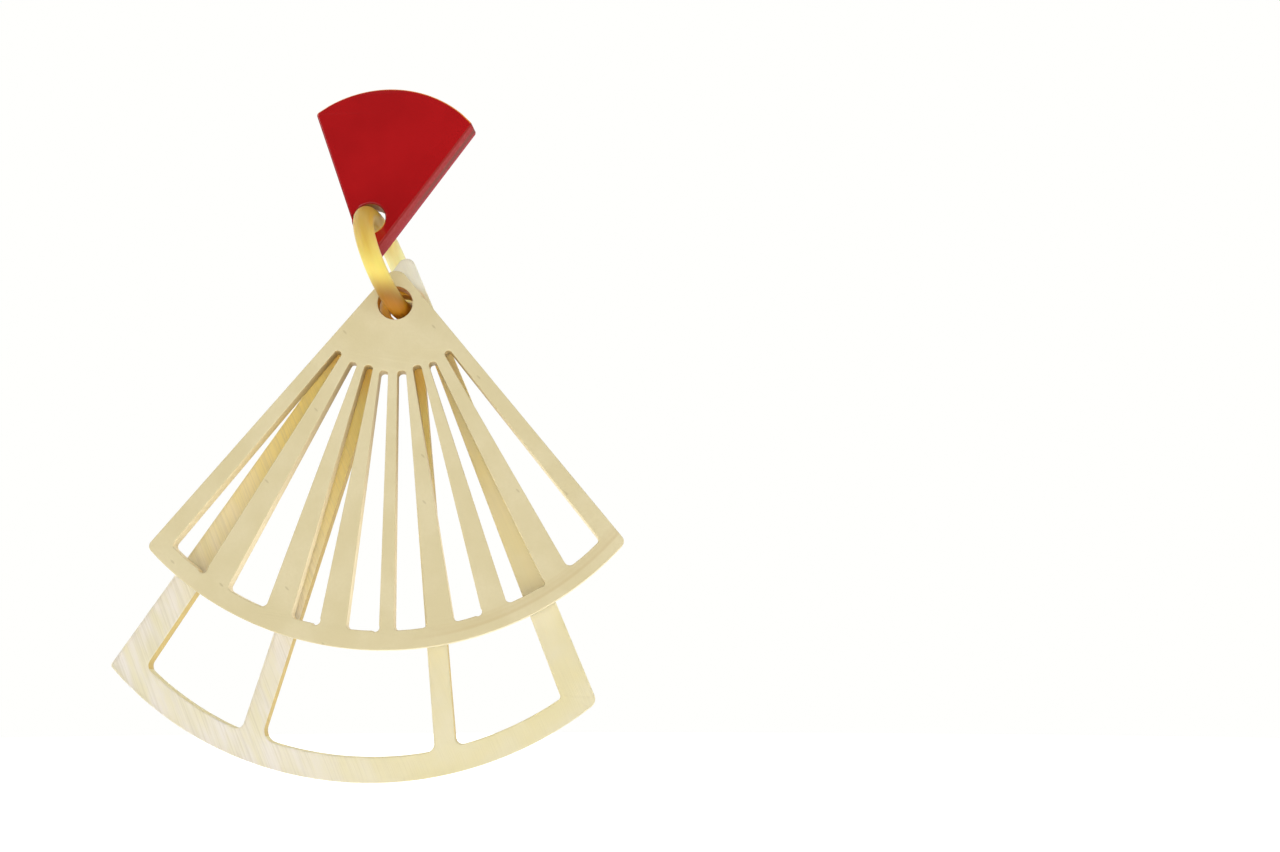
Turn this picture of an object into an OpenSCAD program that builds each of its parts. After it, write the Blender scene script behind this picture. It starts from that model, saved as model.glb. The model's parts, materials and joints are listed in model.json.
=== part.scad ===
// Fan earring: a lacquered wedge on an ear post, a link ring, and two pierced fan plates that hang from the ring.
// Millimetres. +Z is up and the front faces -Y. The origin is on the ear post's axis, where the ear's front lies.
// A plate is drawn flat, with its virtual point at the origin and its round rim downwards, and is then stood up.

/* [Wedge] */
// Thickness of the wedge
wedge_t = 2.8; // [2:0.1:4]
// Half of the angle at the wedge's point
wedge_half_angle = 27.8; // [20:0.1:32]
// Radius of the wedge's round top edge
wedge_arc_r = 14.8; // [12.5:0.1:15]
// Height of that arc's centre above the wedge's virtual point
wedge_arc_up = 8.6; // [8:0.1:11]
// Sideways place of that arc's centre, which leaves one corner higher than the other
wedge_arc_side = 0.3; // [0:0.1:2]
// How far the top of the wedge leans to the right
wedge_lean = 7.4; // [0:0.1:10]
// Radius of the hole for the ring
wedge_hole_r = 1.95; // [1.95:0.05:2.05]
// Height of the hole above the wedge's virtual point
wedge_hole_up = 5.8; // [5.5:0.05:6.2]
// Sideways place of the hole
wedge_hole_side = -0.6; // [-0.6:0.05:0]
// Radius of the wedge's rounded point
wedge_point_r = 0.5; // [0.3:0.1:1.2]
// Radius of the wedge's two upper corners
wedge_corner_r = 0.5; // [0.1:0.1:1]

/* [Ear post] */
// Height of the post above the wedge's virtual point
post_up = 14.5; // [13:0.1:17]
// Radius of the post
post_r = 0.4; // [0.35:0.05:0.5]
// Length of the post behind its pad
post_l = 10.5; // [9:0.5:12]
// Radius of the pad
pad_r = 2.5; // [2:0.1:4]
// Thickness of the pad
pad_t = 0.6; // [0.4:0.1:1]

/* [Link ring] */
// Radius of the ring, to the middle of its wire
ring_r = 6.35; // [6.3:0.05:6.5]
// Radius of the wire
wire_r = 1.2; // [1:0.05:1.2]
// How far the wire's middle sits above the middle of the wedge's hole
ring_rise = 0.55; // [0.3:0.05:0.55]
// How far the ring's lower end leans to the right
ring_lean = 19.7; // [17:0.1:21]
// How far the ring's front is turned to the left of the fans' fronts
ring_turn = 12; // [8:0.5:12]
// How far the ring and the fans that hang from it are turned to the right of the wedge's front
drop_turn = 9; // [4:0.5:10]

/* [Front fan] */
// Thickness of each fan plate
fan_t = 2; // [1.5:0.1:2]
// Air between the two fan plates
fan_gap = 0.3; // [0.2:0.05:0.5]
// Half of the angle at the front fan's point
front_half_angle = 38.7; // [38.6:0.1:42]
// Radius of the front fan's rim
front_rim_r = 37.2; // [36:0.1:39]
// Distance from the virtual point down to the centre of the rim's arc
front_rim_down = 9.3; // [8:0.1:11]
// Sideways place of that centre
front_rim_side = 0.1; // [-0.5:0.1:0.5]
// Distance from the virtual point down to the hole
front_hole_down = 5; // [4.8:0.05:5.2]
// Width of the band between the slots and the rim
front_band = 2.2; // [1.8:0.1:3]
// Sideways place of the slots
slots_side = -0.1; // [-0.2:0.05:0.1]
// How far the front fan's rim leans to the left
front_lean = -1.2; // [-3:0.1:3]

/* [Back fan] */
// Half of the angle at the back fan's point
back_half_angle = 27.6; // [27:0.1:29]
// Radius of the back fan's rim
back_rim_r = 41; // [40:0.1:43]
// Distance from the virtual point down to the centre of the rim's arc
back_rim_down = 23.1; // [22:0.1:25]
// Sideways place of that centre, which leaves the band under the windows wider on the right
back_rim_side = 0.1; // [-0.5:0.1:0.8]
// Distance from the virtual point down to the hole
back_hole_down = 7.8; // [7.5:0.05:8]
// Sideways place of the hole
back_hole_side = 0.25; // [0:0.05:0.3]
// Width of the band between the windows and the rim
back_band = 2.8; // [2.4:0.05:4]
// How far the back fan's rim leans to the left
back_lean = 4.1; // [0:0.1:5]

/* [Holes in the fans] */
// Radius of the front fan's hole
front_hole_r = 2.1; // [2.1:0.05:2.3]
// How far that hole sits above the lowest place of the wire's middle
front_hole_rise = 0.5; // [0.3:0.05:0.5]
// How far it sits to the left of the wire
front_hole_aside = 0.2; // [0:0.05:0.2]
// Radius of the back fan's hole, which fits the wire more closely
back_hole_r = 1.75; // [1.75:0.05:2]
// How far that hole sits above the lowest place of the wire's middle
back_hole_rise = 0.3; // [0.2:0.05:0.3]

/* [Hidden] */

// Degrees between two points of a rim or of a rounded corner
RIM_STEP = 1.5;
CORNER_STEPS = 8;
// Radius times degrees of an arc that a rounded corner at its end may use up
CORNER_ROOM = 90;
// Facets per turn of what the tools read as a true circle
ROUND = 96;
// How far a cutter runs past a face
PAST = 1;

// Cut openings are tapered. An edge has an angle from the plate's axis and a shift away from the axis.
// Columns: outer edge's angle, its shift, inner edge's angle, its shift, distance of the narrow end from the point,
// corner radius at the narrow end, lower outer corner's radius, lower inner corner's radius.
SLOTS = [
    [37.5, -1.30, 29.5, -0.35, 12.75, 0.42, 0.60, 0.70],
    [25.9, -0.85, 18.2, 0.05, 13.25, 0.42, 0.60, 0.60],
    [14.2, 0.08, 9.9, 0.05, 13.15, 0.45, 0.55, 0.55],
    [5.7, 0.20, 0.6, 0.40, 13.55, 0.45, 0.55, 0.50],
];
OUT_A = 0;
OUT_S = 1;
IN_A = 2;
IN_S = 3;
TOP = 4;
TOP_R = 5;
LOW_OUT_R = 6;
LOW_IN_R = 7;

// The back fan's windows, with the same columns. The middle one has its two edges alike.
WINDOW_LEFT = [26.0, -1.85, 10.9, 0.75, 14.4, 0.45, 0.95, 0.80];
WINDOW_RIGHT = [26.0, -2.05, 10.9, 0.65, 14.4, 0.45, 0.45, 0.80];
WINDOW_MIDDLE = [10.5, -1.35, -10.5, 1.25, 13.2, 0.70, 0.95, 1.50];

// Small drilled starts that overshoot a slot's lower corner. Columns: angle from the axis, distance in from the
// band's edge, radius.
STARTS = [
    [-29.6, 0.42, 0.56],
    [-10.6, 0.40, 0.56],
    [-1.7, 0.38, 0.50],
    [13.7, 0.42, 0.52],
    [24.2, 0.42, 0.52],
];

// Rounded corners of the plates
FRONT_POINT_R = 1.5;
FRONT_CORNER_R = 0.8;
BACK_POINT_R = 1.1;
BACK_CORNER_R_LEFT = 0.5;
BACK_CORNER_R_RIGHT = 1.1;

// Layers from back to front
wedge_back_y = -pad_t;
middle_y = wedge_back_y - wedge_t / 2;
front_fan_back_y = middle_y - fan_gap / 2;
back_fan_back_y = middle_y + fan_gap / 2 + fan_t;
// Middle of each fan's thickness, measured from the ring's middle plane
fan_mid = fan_gap / 2 + fan_t / 2;

// Places in the upright plane, as [x, z]
function along(lean) = [sin(lean), -cos(lean)];
function across(lean) = [cos(lean), sin(lean)];
wedge_point = post_up * along(-wedge_lean);
wedge_hole = wedge_point - wedge_hole_up * along(-wedge_lean) + wedge_hole_side * across(-wedge_lean);
// The drop is built square to the front at first, and then turned about an upright line through the wedge's hole
ring_top = wedge_hole - ring_rise * along(ring_lean);
ring_middle = ring_top + ring_r * along(ring_lean);
ring_low = ring_top + 2 * ring_r * along(ring_lean);
// The turned ring carries the wire to the left in the front fan and to the right in the back fan
wire_shift = fan_mid * tan(ring_turn);
front_hole = ring_low - front_hole_rise * along(ring_lean) - (wire_shift + front_hole_aside) * across(ring_lean);
back_hole = ring_low - back_hole_rise * along(ring_lean) + wire_shift * across(ring_lean);

function unit(v) = v / norm(v);
function near_turn(a) = a > 180 ? a - 360 : a < -180 ? a + 360 : a;

// Points of a corner at b, between a and c, rounded to a radius
function corner(a, b, c, r) =
    let (
        u = unit(a - b),
        v = unit(c - b),
        half = acos(u * v) / 2,
        middle = b + unit(u + v) * r / sin(half),
        first = b + u * r / tan(half) - middle,
        last = b + v * r / tan(half) - middle,
        start = atan2(first.y, first.x),
        sweep = near_turn(atan2(last.y, last.x) - start)
    )
    [for (i = [0:CORNER_STEPS])
        middle + r * [cos(start + sweep * i / CORNER_STEPS), sin(start + sweep * i / CORNER_STEPS)]];

// An outline from rows of [point, corner radius]
function outline(rows) =
    let (n = len(rows))
    [for (i = [0:n - 1])
        each rows[i][1] == 0 ? [rows[i][0]]
            : corner(rows[(i + n - 1) % n][0], rows[i][0], rows[(i + 1) % n][0], rows[i][1])];

// A place s along a tapered edge, and where such an edge meets an arc of radius r
function on_edge(angle, shift, s) = shift * [cos(angle), sin(angle)] + s * [sin(angle), -cos(angle)];
function edge_on_arc(angle, shift, middle, r) =
    let (
        start = on_edge(angle, shift, 0) - middle,
        near = start * [sin(angle), -cos(angle)]
    )
    on_edge(angle, shift, sqrt(near * near - start * start + r * r) - near);

// Rows of an arc between two of its points, which leave its ends free for the rounded corners
function arc_rows(from, to, middle) =
    let (
        a = atan2(from.y - middle.y, from.x - middle.x),
        b = atan2(to.y - middle.y, to.x - middle.x),
        turn = near_turn(b - a),
        sweep = abs(turn),
        steps = max(2, round(sweep / RIM_STEP)),
        r = norm(from - middle)
    )
    [for (i = [1:steps - 1])
        if (min(i, steps - i) * r * sweep / steps > CORNER_ROOM)
            [middle + r * [cos(a + turn * i / steps), sin(a + turn * i / steps)], 0]];

// A fan's outer outline
module fan_outline(half_angle, rim_r, rim_middle, point_r, left_r, right_r) {
    right = edge_on_arc(half_angle, 0, rim_middle, rim_r);
    left = edge_on_arc(-half_angle, 0, rim_middle, rim_r);
    polygon(outline(concat(
        [[[0, 0], point_r], [left, left_r]],
        arc_rows(left, right, rim_middle),
        [[right, right_r]]
    )));
}

// One tapered opening, on the right of the axis
module opening(row, band_r, middle) {
    top_out = on_edge(row[OUT_A], row[OUT_S], row[TOP]);
    top_in = on_edge(row[IN_A], row[IN_S], row[TOP]);
    low_out = edge_on_arc(row[OUT_A], row[OUT_S], middle, band_r);
    low_in = edge_on_arc(row[IN_A], row[IN_S], middle, band_r);
    polygon(outline(concat(
        [[top_out, row[TOP_R]], [top_in, row[TOP_R]], [low_in, row[LOW_IN_R]]],
        arc_rows(low_in, low_out, middle),
        [[low_out, row[LOW_OUT_R]]]
    )));
}

// Stands a flat drawing up, with its back face at y and its origin at a place in the upright plane
module stand(place, y, lean, t) {
    translate([place.x, y, place.y])
        rotate([0, lean, 0])
            rotate([90, 0, 0])
                linear_extrude(height = t)
                    children();
}

// A straight hole from front to back
module drilled(place, y, r, t) {
    translate([place.x, y + PAST, place.y])
        rotate([90, 0, 0])
            cylinder(r = r, h = t + 2 * PAST, $fn = ROUND);
}

// Turns the drop about an upright line through the middle of the wedge's hole
module turn_drop() {
    translate([wedge_hole.x, middle_y, 0])
        rotate([0, 0, drop_turn])
            translate([-wedge_hole.x, -middle_y, 0])
                children();
}

module wedge_outline() {
    middle = [wedge_arc_side, wedge_arc_up];
    // The wedge stands on its point, so its sides run upwards
    right = edge_on_arc(180 - wedge_half_angle, 0, middle, wedge_arc_r);
    left = edge_on_arc(180 + wedge_half_angle, 0, middle, wedge_arc_r);
    polygon(outline(concat(
        [[[0, 0], wedge_point_r], [right, wedge_corner_r]],
        arc_rows(right, left, middle),
        [[left, wedge_corner_r]]
    )));
}

module lacquered_wedge() {
    color("#A5161A")
        difference() {
            stand(wedge_point, wedge_back_y, wedge_lean, wedge_t) wedge_outline();
            drilled(wedge_hole, wedge_back_y, wedge_hole_r, wedge_t);
        }
}

module ear_post() {
    // The post's end is cut back to a blunt cone
    tip = post_r / 2;
    color("silver")
        rotate([90, 0, 0])
            union() {
                cylinder(r = pad_r, h = pad_t, $fn = ROUND);
                translate([0, 0, tip - post_l])
                    cylinder(r = post_r, h = post_l - tip + pad_t / 2, $fn = ROUND);
                translate([0, 0, -post_l])
                    cylinder(r1 = tip, r2 = post_r, h = tip, $fn = ROUND);
            }
}

module link_ring() {
    color("#D9B04A")
        turn_drop()
            translate([ring_middle.x, middle_y, ring_middle.y])
                rotate([0, -ring_lean, 0])
                    rotate([0, 0, -ring_turn])
                        rotate([0, 90, 0])
                            rotate_extrude($fn = ROUND)
                                translate([ring_r, 0])
                                    circle(r = wire_r, $fn = ROUND);
}

module front_fan() {
    point = front_hole - front_hole_down * along(-front_lean);
    band_r = front_rim_r - front_band;
    // The slots end on an arc round the plate's own axis
    middle = [0, -front_rim_down];
    color("#DDCFA5")
        turn_drop()
            difference() {
                stand(point, front_fan_back_y, front_lean, fan_t)
                    difference() {
                        fan_outline(front_half_angle, front_rim_r, [front_rim_side, -front_rim_down],
                            FRONT_POINT_R, FRONT_CORNER_R, FRONT_CORNER_R);
                        translate([slots_side, 0]) {
                            for (row = SLOTS, side = [0, 1])
                                mirror([side, 0]) opening(row, band_r, middle);
                            for (start = STARTS)
                                translate(edge_on_arc(start[0], 0, middle, band_r - start[1]))
                                    circle(r = start[2], $fn = ROUND);
                        }
                    }
                drilled(front_hole, front_fan_back_y, front_hole_r, fan_t);
            }
}

module back_fan() {
    point = back_hole - back_hole_down * along(-back_lean) - back_hole_side * across(-back_lean);
    band_r = back_rim_r - back_band;
    middle = [0, -back_rim_down];
    color("#EAE3D0")
        turn_drop()
            difference() {
                stand(point, back_fan_back_y, back_lean, fan_t)
                    difference() {
                        fan_outline(back_half_angle, back_rim_r, [back_rim_side, -back_rim_down],
                            BACK_POINT_R, BACK_CORNER_R_LEFT, BACK_CORNER_R_RIGHT);
                        mirror([1, 0]) opening(WINDOW_LEFT, band_r, middle);
                        opening(WINDOW_RIGHT, band_r, middle);
                        opening(WINDOW_MIDDLE, band_r, middle);
                    }
                drilled(back_hole, back_fan_back_y, back_hole_r, fan_t);
            }
}

lacquered_wedge();
ear_post();
link_ring();
front_fan();
back_fan();
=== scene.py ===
# %% [markdown]
# # A fan earring of lacquered and bare horn
# The real earring is cut from sheets of buffalo horn. A red lacquered wedge sits on the ear, a ring of
# clear yellow horn goes through its hole, and two fan plates hang from the ring: a cream lacquered one in
# front and a larger bare one behind it. Every piece is hard and keeps its shape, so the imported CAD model
# gives all the outlines, and this script gives each piece its worked edges, its sawn walls and its finish.

# %% Load the frame
import json
import math

import bpy
from mathutils import Matrix, Vector

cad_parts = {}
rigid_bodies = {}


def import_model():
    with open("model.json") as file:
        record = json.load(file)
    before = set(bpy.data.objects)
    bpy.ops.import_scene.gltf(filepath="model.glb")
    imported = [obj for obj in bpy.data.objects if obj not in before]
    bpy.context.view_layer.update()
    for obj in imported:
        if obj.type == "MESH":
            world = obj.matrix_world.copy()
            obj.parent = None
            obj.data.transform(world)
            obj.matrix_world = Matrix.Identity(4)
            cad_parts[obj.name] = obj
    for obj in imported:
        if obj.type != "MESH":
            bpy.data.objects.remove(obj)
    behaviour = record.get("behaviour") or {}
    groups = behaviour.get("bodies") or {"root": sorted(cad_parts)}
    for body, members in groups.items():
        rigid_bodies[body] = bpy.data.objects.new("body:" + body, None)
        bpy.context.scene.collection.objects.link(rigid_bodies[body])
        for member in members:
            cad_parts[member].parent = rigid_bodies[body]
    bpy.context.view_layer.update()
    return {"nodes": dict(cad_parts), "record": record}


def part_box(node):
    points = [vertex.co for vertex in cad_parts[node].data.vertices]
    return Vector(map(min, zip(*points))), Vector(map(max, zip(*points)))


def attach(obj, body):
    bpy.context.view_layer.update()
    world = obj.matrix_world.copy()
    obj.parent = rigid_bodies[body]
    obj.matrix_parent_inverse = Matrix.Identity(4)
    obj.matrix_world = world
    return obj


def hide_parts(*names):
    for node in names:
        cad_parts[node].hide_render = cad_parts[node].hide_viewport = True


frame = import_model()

# %% [markdown]
# Blender works in metres and the piece is small, so every size below is a millimetre value times MM, or
# goes through mm where there are several. Operators act on all that is selected, and the frame arrives
# selected, so one helper selects a single object. The hinges of the record give the middles of the plates'
# holes.

# %% Sizes, selection and hinges
MM = 0.001


def mm(*sizes):
    """Sizes in millimetres, turned to the metres that Blender works in."""
    return [size * MM for size in sizes]


def only(thing):
    """Select one object and nothing else."""
    bpy.ops.object.select_all(action="DESELECT")
    thing.select_set(True)
    bpy.context.view_layer.objects.active = thing


joints = {joint["name"]: joint for joint in frame["record"]["behaviour"]["joints"]}
ring_middle = Vector(joints["ring_swing"]["pos_m"])
ring_axis = Vector(joints["ring_swing"]["axis"]).normalized()
front_hinge = Vector(joints["front_fan_sway"]["pos_m"])
back_hinge = Vector(joints["back_fan_sway"]["pos_m"])
print("hinges:", list(joints))

# %% [markdown]
# ## Camera
# The earring was photographed from a little below and from the right, from about 15 cm away. The camera has
# the same place and the same angle of view, so the walls of the cut openings show as they do in the
# photograph.

# %% Camera
CAMERA_PLACE = Vector((43.8, -139.4, -65.8)) * MM
CAMERA_TURN = math.radians(5.0)
CAMERA_TILT = math.radians(12.5)
LENS = 33.75

camera_data = bpy.data.cameras.new("camera")
camera_data.lens = LENS
camera_data.clip_start = 1 * MM
camera = bpy.data.objects.new("camera", camera_data)
bpy.context.scene.collection.objects.link(camera)
camera.location = CAMERA_PLACE
camera.rotation_euler = (math.radians(90) + CAMERA_TILT, 0, CAMERA_TURN)
bpy.context.scene.camera = camera
print("camera", round((CAMERA_PLACE - ring_middle).length / MM), "mm from the ring")

# %% [markdown]
# ## Plates with worked edges
# A horn plate is sawn to its outline, pierced with a fretsaw and rubbed down, which takes the sharp edge
# off. A bevel on the CAD mesh would trip over its long thin triangles. Instead the front rims of the CAD
# node are kept, made a flat curve and given thickness and a round edge by the curve itself. The offset
# draws the outline in by as much as the round edge adds, so the plate stays inside the CAD solid.

# %% Copies and rims
DOUBLES = 0.002 * MM


def copy_of(node, name):
    """A merged copy of a CAD node's mesh, as a new object."""
    piece = bpy.data.objects.new(name, frame["nodes"][node].data.copy())
    bpy.context.scene.collection.objects.link(piece)
    only(piece)
    bpy.ops.object.mode_set(mode="EDIT")
    bpy.ops.mesh.select_all(action="SELECT")
    bpy.ops.mesh.remove_doubles(threshold=DOUBLES)
    bpy.ops.object.mode_set(mode="OBJECT")
    return piece


def select_faces(piece, wanted):
    """Select the faces that are wanted, and leave the piece in edit mode."""
    only(piece)
    bpy.ops.object.mode_set(mode="EDIT")
    bpy.ops.mesh.select_mode(type="FACE")
    bpy.ops.mesh.select_all(action="DESELECT")
    bpy.ops.object.mode_set(mode="OBJECT")
    for face in piece.data.polygons:
        face.select = wanted(face)
    bpy.ops.object.mode_set(mode="EDIT")


def keep_rims():
    """Leave only the edges round a flat sheet and its holes, from edit mode."""
    bpy.ops.mesh.select_all(action="SELECT")
    bpy.ops.mesh.region_to_loop()
    bpy.ops.mesh.select_mode(type="EDGE")
    bpy.ops.mesh.select_all(action="INVERT")
    bpy.ops.mesh.delete(type="EDGE_FACE")
    bpy.ops.object.mode_set(mode="OBJECT")


# %% A plate from a CAD node
LEVEL = 0.99
ROUND_STEPS = 3
SMOOTH_BELOW = math.radians(35)


def plate(node, name, edge_r):
    """A plate with the CAD node's outline, thickness and place, and edges rounded to edge_r."""
    piece = copy_of(node, name)
    front_faces = [face for face in piece.data.polygons if face.normal.y < 0]
    facing = max(front_faces, key=lambda face: face.area).normal.copy()
    lay_flat = facing.rotation_difference(Vector((0, 0, 1))).to_matrix().to_4x4()
    piece.data.transform(lay_flat)
    piece.data.update()
    top = max(v.co.z for v in piece.data.vertices)
    bottom = min(v.co.z for v in piece.data.vertices)
    middle = (top + bottom) / 2
    select_faces(piece, lambda face: face.normal.z < LEVEL or face.center.z < middle)
    bpy.ops.mesh.delete(type="FACE")
    keep_rims()
    piece.data.transform(Matrix.Translation((0, 0, -top)))
    bpy.ops.object.convert(target="CURVE")
    piece = bpy.context.active_object
    piece.data.dimensions = "2D"
    piece.data.fill_mode = "BOTH"
    piece.data.extrude = (top - bottom) / 2 - edge_r
    piece.data.bevel_depth = edge_r
    piece.data.bevel_resolution = ROUND_STEPS
    piece.data.offset = -edge_r
    bpy.ops.object.convert(target="MESH")
    piece = bpy.context.active_object
    bpy.ops.object.mode_set(mode="EDIT")
    bpy.ops.mesh.select_all(action="SELECT")
    bpy.ops.mesh.remove_doubles(threshold=DOUBLES)
    bpy.ops.mesh.normals_make_consistent(inside=False)
    bpy.ops.object.mode_set(mode="OBJECT")
    piece.data.transform(Matrix.Translation((0, 0, middle)))
    piece.data.transform(lay_flat.inverted())
    piece.data.update()
    bpy.ops.object.shade_smooth_by_angle(angle=SMOOTH_BELOW)
    flat_first = piece.modifiers.new("flat faces stay flat", "WEIGHTED_NORMAL")
    flat_first.keep_sharp = True
    bpy.ops.object.modifier_apply(modifier=flat_first.name)
    print(name, len(piece.data.polygons), "faces")
    return piece, facing


# %% [markdown]
# ### Red wedge
# The stud's wedge has the heaviest coat of lacquer, which rounds its edge more than the plates' edges.

# %% Red wedge
wedge, wedge_facing = plate("lacquered_wedge", "red_wedge", 0.28 * MM)
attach(wedge, "stud")
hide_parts("lacquered_wedge")

# %% [markdown]
# ### Fan plates
# The front plate is sawn into ribs by eight slots and lacquered afterwards. The back plate is left bare,
# and the hand that sanded it has rounded its edges a little more.

# %% Fan plates
front, front_facing = plate("front_fan", "cream_fan", 0.12 * MM)
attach(front, "front_plate")
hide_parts("front_fan")
back, back_facing = plate("back_fan", "horn_fan", 0.15 * MM)
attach(back, "back_plate")
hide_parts("back_fan")

# %% [markdown]
# ### Ring
# The streaks in the ring's horn follow its round, as they do where a warm strip of horn is bent to a loop.
# The CAD mesh is merged and smoothed. Each point then keeps its distance from the ring's own axis and its
# place along that axis. These two numbers stay the same all along the wire, so a pattern that reads them
# runs lengthwise, with no seam.

# %% Ring
ring = copy_of("link_ring", "horn_ring")
bpy.ops.object.shade_smooth()
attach(ring, "link")
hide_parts("link_ring")

across = ring.data.attributes.new("across_wire", "FLOAT_VECTOR", "POINT")
for vertex in ring.data.vertices:
    arm = vertex.co - ring_middle
    aside = arm.dot(ring_axis)
    across.data[vertex.index].vector = ((arm - aside * ring_axis).length, aside, 0)
print("ring", len(ring.data.polygons), "faces")

# %% [markdown]
# ## Finishes
# A material is a small tree of nodes that ends in one shader. The first helper turns the hex code of a
# colour to the linear colour that the shader works in. The second adds a node with its settings and its
# inputs, where an input is a value or another node's output. The third starts a material and sets the
# numbers that are the same all over it. The last links what changes over the piece to the shader: the
# colour, the roughness, the relief.

# %% Helpers for materials
SHADER = "Principled BSDF"


def colour(shade):
    """The linear colour of an sRGB hex code. A node's output is given back as it is."""
    if not isinstance(shade, str):
        return shade
    parts = [int(shade[i:i + 2], 16) / 255 for i in (1, 3, 5)]
    return [c / 12.92 if c <= 0.04045 else ((c + 0.055) / 1.055) ** 2.4 for c in parts] + [1]


def add(tree, kind, inputs, output=0, **settings):
    """Add a node with its settings and its inputs, each a value or an output, and give the chosen output."""
    node = tree.nodes.new(kind)
    for name, value in settings.items():
        setattr(node, name, value)
    for name, value in inputs.items():
        if isinstance(value, bpy.types.NodeSocket):
            tree.links.new(value, node.inputs[name])
        else:
            node.inputs[name].default_value = value
    return node.outputs[output]


def start(name, **numbers):
    """A new material and its tree, with numbers that are the same all over it on the shader's sockets."""
    material = bpy.data.materials.new(name)
    material.use_nodes = True
    shader = material.node_tree.nodes[SHADER]
    for socket, value in numbers.items():
        shader.inputs[socket.replace("_", " ")].default_value = value
    return material, material.node_tree


def surface(material, base, roughness=None, relief=None):
    """Link a colour to a material's shader, a roughness, and a relief as its height and its depth in mm."""
    tree = material.node_tree
    shader = tree.nodes[SHADER]
    tree.links.new(base, shader.inputs["Base Color"])
    if roughness is not None:
        tree.links.new(roughness, shader.inputs["Roughness"])
    if relief is not None:
        height, depth = relief
        bump = add(tree, "ShaderNodeBump", {"Height": height, "Strength": 1.0, "Distance": depth * MM})
        tree.links.new(bump, shader.inputs["Normal"])
    print("material", material.name, "of", len(tree.nodes), "nodes")


# %% [markdown]
# The colour of a finish is built as on the real piece, from a base under layers, such as a stain, a worn
# patch or a sanding line. How much of a layer lies at a place is its share, which is a product of parts. A
# part is a plain number, a pattern, or a measure with the two values between which the layer goes from
# nothing to all of it. The measures are a place along X, Y or Z and the distance from a point, and the
# pattern is a cloud, which is noise with blotches of a size in millimetres along X, Y and Z. A Mix node has
# sockets for each kind of data, so those for colours are picked by their numbers.

# %% Helpers for layers
MIX_FACTOR = 0
MIX_UNDER = 6
MIX_OVER = 7
MIX_COLOUR = 2


def share(tree, *parts):
    """The product of parts, each a number, an output or a tuple: (measure, none at, all at).

    A tuple can end with the least and the most that there is of the layer, in place of 0 and 1.
    """
    product = None
    for part in parts:
        if isinstance(part, tuple):
            measure, none_at, all_at, *ends = part
            least, most = ends or (0.0, 1.0)
            part = add(tree, "ShaderNodeMapRange", {
                "Value": measure, "From Min": none_at, "From Max": all_at, "To Min": least, "To Max": most,
            }, interpolation_type="SMOOTHSTEP")
        product = part if product is None else add(tree, "ShaderNodeMath", {
            0: product, 1: part,
        }, operation="MULTIPLY")
    return product


def coats(tree, base, *layers):
    """A colour under layers. Each layer is its colour and then the parts of its share."""
    under = colour(base)
    for over, *parts in layers:
        under = add(tree, "ShaderNodeMix", {
            MIX_FACTOR: share(tree, *parts), MIX_UNDER: under, MIX_OVER: colour(over),
        }, MIX_COLOUR, data_type="RGBA")
    return under


# %% Helpers for measures and clouds


def place_along(tree, axis):
    """The X, Y or Z of the place on the piece."""
    place = add(tree, "ShaderNodeTexCoord", {}, "Object")
    return add(tree, "ShaderNodeSeparateXYZ", {0: place}, axis)


def distance_from(tree, point):
    """How far a place on the piece is from a point."""
    place = add(tree, "ShaderNodeTexCoord", {}, "Object")
    return add(tree, "ShaderNodeVectorMath", {0: place, 1: point}, "Value", operation="DISTANCE")


def cloud(tree, size, turn=(0, 0, 0), detail=2.0, low=0.3, high=0.7):
    """A soft noise from 0 to 1, with blotches of the given size in millimetres along each turned axis."""
    place = add(tree, "ShaderNodeTexCoord", {}, "Object")
    scaled = add(tree, "ShaderNodeMapping", {
        "Vector": place, "Rotation": turn, "Scale": mm(*size),
    }, vector_type="TEXTURE")
    noise = add(tree, "ShaderNodeTexNoise", {"Vector": scaled, "Scale": 1, "Detail": detail})
    return share(tree, (noise, low, high))


# %% [markdown]
# ### Red lacquer
# The wedge has many coats of red lacquer, sprayed and polished to a deep gloss, so it is a coloured base
# under a clear coat. The coat carries the gloss, so the base's own index of refraction is low. The colour is
# a little uneven, and there is the faint waviness of a sprayed surface.

# %% Polished red lacquer
gloss, tree = start("gloss_red_lacquer", Roughness=0.12, IOR=1.3,
                    Coat_Weight=1.0, Coat_Roughness=0.04, Coat_IOR=1.4)
uneven = cloud(tree, (7, 7, 7))
waves = cloud(tree, (1.6, 1.6, 1.6))
surface(gloss, coats(tree, "#A00E12", ("#A91115", uneven)), relief=(waves, 0.002))

# %% [markdown]
# Along its edges the coat is thin and has lost its gloss. Along the round top, on the faces that point
# upwards, a golden line is partly horn where the polish has cut the coat down in patches and partly a
# painted highlight of the light from above. Both edges are the same finish with other colours.

# %% Worn lacquered edges and a painted highlight
EDGE_PATCHES = (1.2, 1.2, 1.2)


def worn_edge(name, coat, horn, most):
    """A lacquered edge without gloss, in patches of a second colour, up to the most that is given."""
    edge, tree = start(name, Roughness=0.7, Specular_IOR_Level=0.1)
    patches = cloud(tree, EDGE_PATCHES, low=0.0, high=0.4)
    surface(edge, coats(tree, coat, (horn, patches, most)))
    return edge


# The golden top edge is partly horn worn through in patches and partly a painted highlight of the light from
# above.
highlit_golden_edge = worn_edge("worn_and_highlit_golden_edge", "#983018", "#E88A30", 1.0)
red_edge = worn_edge("worn_red_edge", "#961A1C", "#8A302A", 0.5)

# %% [markdown]
# The walls were rubbed with fine paper after the last coat, which leaves them dusty, and rosier towards the
# back. Along the upper wall runs a brown band, where the coat is thinnest and the horn shows through.

# %% Rubbed red wall
BAND_Z = mm(-9, -4)

wedge_front, wedge_back = [corner[1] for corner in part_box("lacquered_wedge")]


def in_wall(*parts):
    """The Y of places in the wedge's wall, given as parts of its thickness from the front."""
    return [wedge_front + part * (wedge_back - wedge_front) for part in parts]


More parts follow.
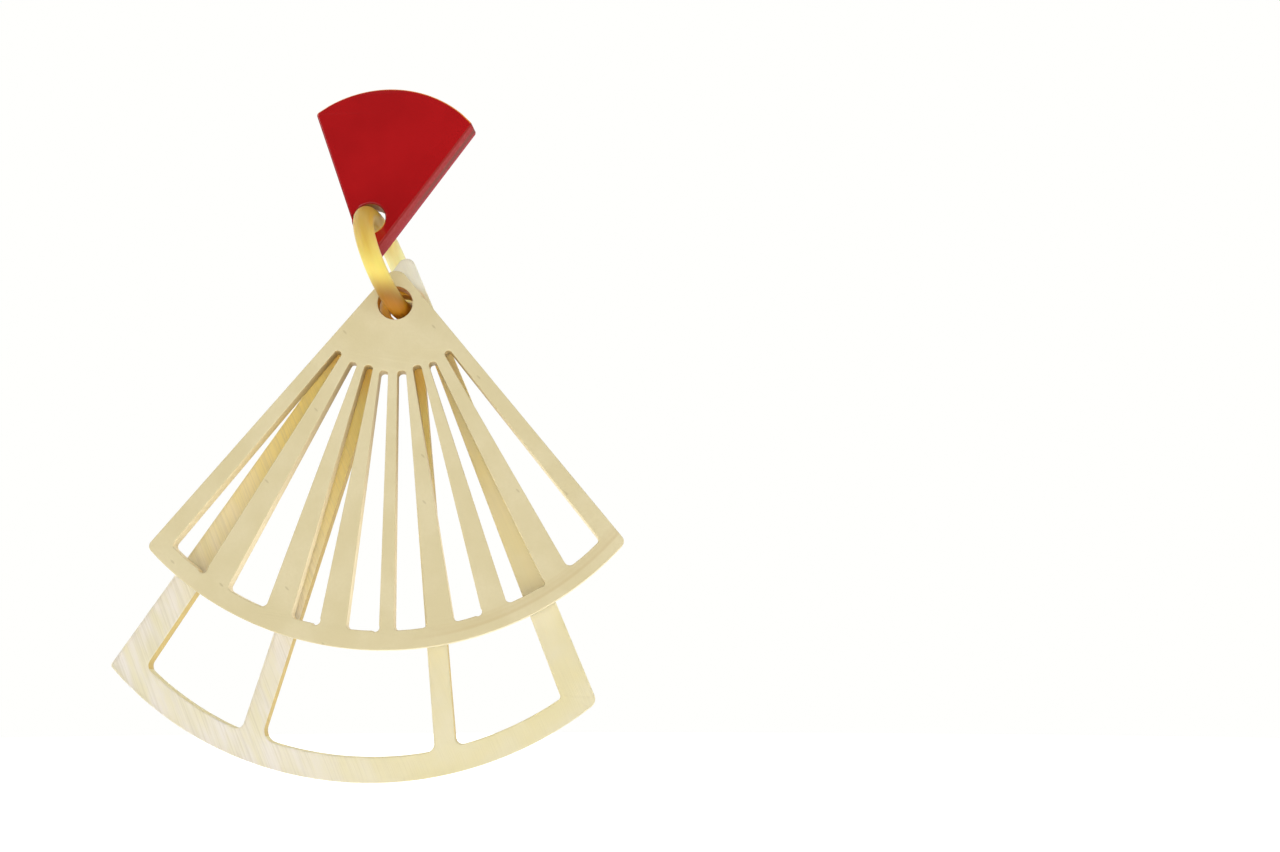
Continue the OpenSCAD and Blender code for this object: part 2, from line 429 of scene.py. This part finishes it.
red_wall, tree = start("rubbed_red_lacquer_wall", Roughness=0.6, IOR=1.25)
depth = place_along(tree, "Y")
upwards = place_along(tree, "Z")
dust = cloud(tree, (0.5, 0.5, 0.5), low=0.4, high=0.9)
dusty = coats(
    tree, "#952528",
    ("#9C3444", (depth, *in_wall(0.5, 1.0))),
    ("#A03A3A", dust),
    ("#7C3A34", (depth, *in_wall(0.35, 0.55)), (depth, *in_wall(0.85, 0.65)), (upwards, *BAND_Z)),
)
scratches = cloud(tree, (0.15, 0.6, 0.6))
surface(red_wall, dusty, relief=(scratches, 0.008))

# %% [markdown]
# ### Matt cream lacquer
# The front plate has a thin coat of matt cream lacquer. Horn shows through it as faint growth lines that
# follow the plate's round rim, with a few dark specks. The matt comes from fine powder in the lacquer, so
# it has a high roughness and a grain that is drawn coarser than the real one, to show at all. The rim is an
# arc, and its middle and radius place the growth lines here, the darker ends of the sawn walls, and the
# painted amber glow on the back plate below.

# %% Matt cream lacquer
RIM_MIDDLE = Vector((1.6, -1.5, -24.0)) * MM
RIM_R = 37.2 * MM
GROWTH_STEP = 1.1 * MM
GROWTH_X = mm(2, 14)
GROWTH_R = [RIM_R - inwards for inwards in mm(3.5, 2)]
SPECK_TURN = (math.radians(90), math.radians(45), 0)
SPECK_STEPS = mm(14, 5, 1)
SPECK_R = (0.012, 0.03)
SPECK_SHARE = 0.28

cream, tree = start("matt_cream_lacquer", Roughness=0.62, IOR=1.45)
mottles = cloud(tree, (5, 5, 5), detail=4.0)
powder = cloud(tree, (0.35, 0.35, 0.35), low=0.2, high=0.8)
rightwards = place_along(tree, "X")
outwards = distance_from(tree, RIM_MIDDLE)
growth = add(tree, "ShaderNodeTexNoise", {
    "W": outwards, "Scale": 1 / GROWTH_STEP, "Detail": 1.0,
}, noise_dimensions="1D")
laid_flat = add(tree, "ShaderNodeMapping", {
    "Vector": add(tree, "ShaderNodeTexCoord", {}, "Object"), "Rotation": SPECK_TURN, "Scale": SPECK_STEPS,
}, vector_type="TEXTURE")
from_speck = add(tree, "ShaderNodeTexVoronoi", {
    "Vector": laid_flat, "Scale": 1,
}, "Distance", voronoi_dimensions="2D")
lacquer = coats(
    tree, "#D2C49A",
    ("#D9CCA6", mottles),
    ("#D0C296", powder, 0.35),
    ("#BFA878", (growth, 0.4, 0.65, 0.0, 0.45), (rightwards, *GROWTH_X), (outwards, *GROWTH_R)),
    ("#8A7650", (from_speck, *SPECK_R, SPECK_SHARE, 0.0)),
)
surface(cream, lacquer, relief=(cloud(tree, (0.25, 0.25, 0.25)), 0.003))

# %% [markdown]
# ### Sawn walls
# Inside the slots the lacquer is thin. The walls are a darker greyish cream near the slots' narrow ends
# and pale towards the rim. The saw's teeth left upright marks.

# %% Slots
PALER_OUTWARDS_R = mm(6, 28)

slot_wall, tree = start("sawn_horn_slot", Roughness=0.55)
teeth = cloud(tree, (0.25, 0.25, 3), low=0.35, high=0.8)
sawn = coats(
    tree, "#C9B484",
    ("#F4E6C0", (distance_from(tree, RIM_MIDDLE), *PALER_OUTWARDS_R)),
    ("#B89C6C", teeth, 0.3),
)
surface(slot_wall, sawn, relief=(teeth, 0.01))

# %% [markdown]
# The other walls are plain: two near colours in streaks that lie along the plate, as the saw and the paper
# left them. The holes were drilled, which left them brown in the wedge and honey yellow in the fans. The
# windows are yellow horn. The outer walls were rubbed down with the edges and are lighter than the faces.
# The walls of the bare plate let some light through, as its faces do.

# %% Plain walls
WALL_STREAKS = (1.5, 0.2, 1.5)
HORN_LETS_THROUGH = 0.35


def plain_wall(name, pale, dark, **numbers):
    """A wall of two near colours, in streaks that lie along the plate."""
    wall, tree = start(name, **numbers)
    streaks = cloud(tree, WALL_STREAKS)
    surface(wall, coats(tree, pale, (dark, streaks)), relief=(streaks, 0.006))
    return wall


brown_hole = plain_wall("bare_horn_hole", "#B8863E", "#8A5A22", Roughness=0.45)
honey_hole = plain_wall("honey_horn_hole", "#E7A219", "#C27F12", Roughness=0.5)
cream_rim = plain_wall("rubbed_cream_rim", "#EDE4C8", "#E2D6B0", Roughness=0.5)
window_wall = plain_wall("sawn_yellow_window", "#DEC264", "#D2B04E", Roughness=0.5,
                         Transmission_Weight=HORN_LETS_THROUGH)
horn_rim = plain_wall("rubbed_horn_rim", "#F0E8B8", "#E4D48C", Roughness=0.5,
                      Transmission_Weight=HORN_LETS_THROUGH)

# %% [markdown]
# ### Bare pale horn
# The back plate is buffalo horn, bleached, sawn and sanded by hand in one slanting direction. Its left part
# is milky with yellow clouds and long sanding lines, its right part a smooth pale yellow. Horn is
# translucent, so a third of the light goes through it. The lines are drawn coarser than real scratches, to
# show at all.

# %% Horn under the sanding
SANDING = (0, math.radians(66), 0)
MILKY_X = mm(8, -12)

bare_horn, tree = start("sanded_buffalo_horn", IOR=1.45, Transmission_Weight=HORN_LETS_THROUGH)
x = place_along(tree, "X")
z = place_along(tree, "Z")
leftness = share(tree, (x, *MILKY_X))
yellow_clouds = cloud(tree, (7, 4, 1.4), SANDING, detail=3.0, low=0.35)
pale_clouds = cloud(tree, (6, 6, 6), detail=3.0)
milky = coats(tree, "#F8F1E8", ("#F3EBCC", yellow_clouds))
plain_horn = coats(tree, "#EFE4B6", ("#F2E9C8", pale_clouds), (milky, leftness))

# %% [markdown]
# Where the front plate hides it, the horn carries a painted amber glow: it stands for the light that goes
# through the horn and is caught in the front plate's shade, and it shows so in the slots. The glow is
# strongest near the hole and to the left. Above it the neck round the hole is painted nearly white, as
# painted light where the ring, the wedge and the front plate's tip shade it, and an orange rim round the
# hole is the painted colour of the shaded, backlit horn seen through the front plate's hole. In the last
# layer lie the sanding lines, which are also a little rougher.

# %% Painted glow, light and shade, and sanding lines
AMBER_GLOW_R = mm(36, 10)
AMBER_GLOW_Z = mm(-19, -22)
AMBER_GLOW_X = mm(7, -4)
AMBER_GLOW_TOP_R = mm(24, 12)
AMBER_GLOW_TOP_X = mm(8.5, 6)
COVERED_R = [RIM_R - inwards for inwards in mm(1, 4)]
DEEP_AMBER_GLOW_R = mm(14, 9)
NECK_LIGHT_Z = mm(-18.5, -16)
HOLE_ORANGE_SHADE_R = mm(3.2, 2.4)

from_middle = distance_from(tree, RIM_MIDDLE)
from_hole = distance_from(tree, back_hinge)
# The painted amber glow, deeper near the hole.
amber = coats(tree, "#FFE78A", ("#FFD468", (from_hole, *DEEP_AMBER_GLOW_R)))
# The painted glow reaches further right near the top, to lighten the shaded slot there.
to_left = add(tree, "ShaderNodeMath", {
    0: share(tree, (x, *AMBER_GLOW_X, 0.45, 1.0)),
    1: share(tree, (from_middle, *AMBER_GLOW_TOP_R), (x, *AMBER_GLOW_TOP_X)),
}, operation="MAXIMUM")
sanding_lines = cloud(tree, (10, 2, 0.16), SANDING, low=0.4, high=0.75)
horn_lines_and_painted_light = coats(
    tree, plain_horn,
    # Painted amber glow: light through the horn, caught in the shade under the front plate.
    (amber, (from_middle, *AMBER_GLOW_R, 0.35, 1.0), (z, *AMBER_GLOW_Z), to_left, (from_middle, *COVERED_R)),
    # Painted light on the neck, where the ring, the wedge and the front plate's tip shade it.
    ("#FFFDF0", (z, *NECK_LIGHT_Z)),
    # Painted orange of the shaded, backlit horn round the hole.
    ("#FFB428", (from_hole, *HOLE_ORANGE_SHADE_R)),
    ("#C9BFA4", sanding_lines, (leftness, 0, 1, 0.08, 0.35)),
)
rougher = share(tree, (sanding_lines, 0, 1, 0.42, 0.55))
surface(bare_horn, horn_lines_and_painted_light, rougher, (sanding_lines, 0.006))

# %% [markdown]
# ### Clear yellow horn
# The ring's horn is the clearest kind. Light goes through it, so it glows where the white paper is behind
# it and looks olive where the lacquer is. It is a dielectric that lets part of the light straight through
# and scatters the rest under its surface, with orange streaks along the wire. Its colour also carries
# painted light: a painted glow makes it yellower low down, a painted backlight makes it paler at the rear,
# and painted shade makes it brown at the lower end, where it lies in the fans' holes, with a lighter
# painted patch at the very bottom.

# %% Clear yellow horn
STREAK_ACROSS = 0.45 * MM
STREAK_ALONG = 7 * MM
RING_GLOW_Z = mm(-10, -17)
BACKLIT_REAR_Y = mm(0, 4)
HOLE_SHADE_Z = mm(-17, -20)
HOLE_LIGHT_Z = mm(-19.2, -20.6)

clear, tree = start("clear_buffalo_horn", Roughness=0.4, IOR=1.5, Transmission_Weight=0.4,
                    Subsurface_Weight=0.5, Subsurface_Scale=1.2 * MM, Subsurface_Radius=(1.0, 0.8, 0.3))
wire = add(tree, "ShaderNodeAttribute", {}, "Vector", attribute_name="across_wire")
place = add(tree, "ShaderNodeTexCoord", {}, "Object")
fine = add(tree, "ShaderNodeVectorMath", {0: wire, "Scale": 1 / STREAK_ACROSS}, operation="SCALE")
slow = add(tree, "ShaderNodeVectorMath", {0: place, "Scale": 1 / STREAK_ALONG}, operation="SCALE")
lengthwise = add(tree, "ShaderNodeVectorMath", {0: fine, 1: slow}, operation="ADD")
fibres = add(tree, "ShaderNodeTexNoise", {"Vector": lengthwise, "Scale": 1, "Detail": 2.0})
z = place_along(tree, "Z")
# Painted shade of the wire inside the fans' holes, with painted light at its very bottom.
brown = coats(tree, "#A87408", ("#CC8A1C", (z, *HOLE_LIGHT_Z)))
yellow = coats(
    tree, "#E8C654",
    # Painted glow: yellower low down, where the white paper lies behind the wire.
    ("#FFEA78", (z, *RING_GLOW_Z)),
    # Painted backlight: the rear strand paler.
    ("#FFFABC", (place_along(tree, "Y"), *BACKLIT_REAR_Y)),
    # Painted shade where the wire lies in the fans' holes.
    (brown, (z, *HOLE_SHADE_Z)),
    ("#DCA848", (fibres, 0.45, 0.75), 0.3),
)
surface(clear, yellow, relief=(fibres, 0.02))

# %% [markdown]
# ### Surgical steel
# The post is a standard finding of drawn steel wire with a stamped pad, so it has fine lines along its
# length.

# %% Surgical steel
steel, tree = start("drawn_surgical_steel", Metallic=1.0)
die_lines = cloud(tree, (0.12, 4, 0.12))
drawn = coats(tree, "#B9B7B2", ("#D2D0CC", die_lines))
surface(steel, drawn, share(tree, (die_lines, 0, 1, 0.22, 0.38)))

# %% [markdown]
# ## Dressing the plates
# Each face of a plate gets its finish from where it points: the flat faces, the rounded edges and the
# walls. The walls of the outer rim and of the hole have a finish of their own. One face of each is found by
# its distance from the hole's middle, and Blender then selects the faces linked to it, up to where the
# material changes. Faces that point upwards can have another finish: the golden edge along the wedge's
# round top, which is partly worn patches and partly a painted highlight of the light from above, and the
# lower walls of the back plate's windows, which get the pale rim finish as painted light where these walls
# lie in shade.

# %% Dress a plate
FACE, EDGE, WALL, RIM, HOLE, TOP_EDGE = range(6)
FACE_ABOVE = 0.97
WALL_BELOW = 0.3


def mark_linked(piece, seed, kind):
    """Give all wall faces that are linked to one of them another finish."""
    select_faces(piece, lambda face: face.index == seed)
    bpy.ops.mesh.select_linked(delimit={"MATERIAL"})
    bpy.ops.object.mode_set(mode="OBJECT")
    for face in piece.data.polygons:
        if face.select:
            face.material_index = kind


def mark_upward(piece, kind, above, other):
    """Give the faces of one kind that point upwards another finish."""
    for face in piece.data.polygons:
        if face.material_index == kind and face.normal.z > above:
            face.material_index = other


def dress(piece, facing, hole_middle, finishes):
    """Finish a plate by its faces: flat faces, rounded edges, cut walls, outer wall and the hole's wall."""
    piece.data.materials.clear()
    for material in finishes:
        piece.data.materials.append(material)
    distances = {}
    for face in piece.data.polygons:
        lean = abs(face.normal.dot(facing))
        face.material_index = FACE if lean > FACE_ABOVE else WALL if lean < WALL_BELOW else EDGE
        if lean < WALL_BELOW:
            distances[face.index] = (face.center - hole_middle).cross(facing).length
    mark_linked(piece, min(distances, key=distances.get), HOLE)
    mark_linked(piece, max(distances, key=distances.get), RIM)


def report(piece):
    """Print how many faces of a plate have each finish."""
    counts = {material.name: 0 for material in piece.data.materials}
    for face in piece.data.polygons:
        counts[piece.data.materials[face.material_index].name] += 1
    print(piece.name, "faces by finish:", counts)


# %% [markdown]
# The wedge has no wall but its rim and its hole, so its third finish has no faces. The hole's middle is
# taken where the ring goes through it, a little below the ring's top.

# %% Dress the wedge
BELOW_RING_TOP = 1.5 * MM
TOP_ABOVE = 0.15

ring_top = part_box("link_ring")[1][2]
wedge_hole = Vector((ring_middle.x, wedge_front, ring_top - BELOW_RING_TOP))
dress(wedge, wedge_facing, wedge_hole, [gloss, red_edge, brown_hole, red_wall, brown_hole, highlit_golden_edge])
# Upward edge faces get the golden finish, which is partly a painted highlight of the light from above.
mark_upward(wedge, EDGE, TOP_ABOVE, TOP_EDGE)
report(wedge)

# %% Dress the fans
LIT_FLOOR_ABOVE = 0.5

dress(front, front_facing, front_hinge, [cream, cream, slot_wall, cream_rim, honey_hole])
report(front)
dress(back, back_facing, back_hinge, [bare_horn, bare_horn, window_wall, horn_rim, honey_hole])
# The windows' lower walls get the pale rim finish as painted light over the shade they lie in.
mark_upward(back, WALL, LIT_FLOOR_ABOVE, RIM)
report(back)

# %% Dress the ring and the post
ring.data.materials.clear()
ring.data.materials.append(clear)
post = frame["nodes"]["ear_post"]
for slot in post.material_slots:
    slot.material = steel
print("post slots:", len(post.material_slots))

# %% [markdown]
# ## Light and paper
# The earring hangs in a tent of white paper that is lit from behind and from both sides and is open to a
# dark room in front. So the world is white behind and fades to dark in front, where the lacquer would
# mirror it. The camera itself always sees white paper.

# %% World
PAPER_WHITE = "#FFFFFD"
TENT_DARK = 0.05
TENT_BRIGHT = 1.0
TENT_FADES = (-1.0, 0.2)

world = bpy.data.worlds.new("paper_tent")
world.use_nodes = True
tent = world.node_tree
sky = tent.nodes["Background"]
sky.inputs["Color"].default_value = colour(PAPER_WHITE)
direction = add(tent, "ShaderNodeTexCoord", {}, "Generated")
backwards = add(tent, "ShaderNodeSeparateXYZ", {0: direction}, "Y")
glow = share(tent, (backwards, *TENT_FADES, TENT_DARK, TENT_BRIGHT))
seen = add(tent, "ShaderNodeLightPath", {}, "Is Camera Ray")
strength = add(tent, "ShaderNodeMath", {0: glow, 1: seen}, operation="MAXIMUM")
tent.links.new(strength, sky.inputs["Strength"])
bpy.context.scene.world = world
bpy.context.scene.view_settings.view_transform = "Standard"
print("world", world.name)

# %% [markdown]
# Three soft lamps stand before the opening of the tent, about half a metre away: two raised ones at the left
# and the right, and a weaker one in front and a little low. Each is a square that points at the middle of
# the earring.

# %% Lamps
OBJECT_MIDDLE = Vector((0, 0, -34)) * MM
# Each lamp's name, its place and its side in millimetres, and its power in watts.
SOFTBOXES = [
    ("left_softbox", (-420, -250, 240), 260, 0.55),
    ("right_softbox", (330, -300, 160), 260, 0.4),
    ("front_softbox", (70, -520, -120), 220, 0.32),
]

for name, spot, side, watts in SOFTBOXES:
    lamp = bpy.data.lights.new(name, "AREA")
    lamp.size = side * MM
    lamp.energy = watts
    box = bpy.data.objects.new(name, lamp)
    bpy.context.scene.collection.objects.link(box)
    box.location = Vector(spot) * MM
    box.rotation_euler = (OBJECT_MIDDLE - box.location).to_track_quat("-Z", "Y").to_euler()
    print(name, watts, "W")

# %% [markdown]
# The paper on the ground is a wide pale floor, lit through from below, which is why no edge shows where it
# ends.

# %% Floor
FLOOR_DEPTH = 200 * MM
FLOOR_R = 4000 * MM
FLOOR_SIDES = 96

bpy.ops.object.select_all(action="DESELECT")
bpy.ops.mesh.primitive_circle_add(vertices=FLOOR_SIDES, radius=FLOOR_R, fill_type="NGON",
                                  location=(0, 0, -FLOOR_DEPTH))
floor = bpy.context.active_object
floor.name = "paper_floor"
paper, tree = start("white_paper", Roughness=0.9, Emission_Strength=0.6, Emission_Color=colour(PAPER_WHITE))
surface(paper, coats(tree, "#F6F6F4", ("#FBFBF9", cloud(tree, (3, 3, 3)))))
floor.data.materials.append(paper)
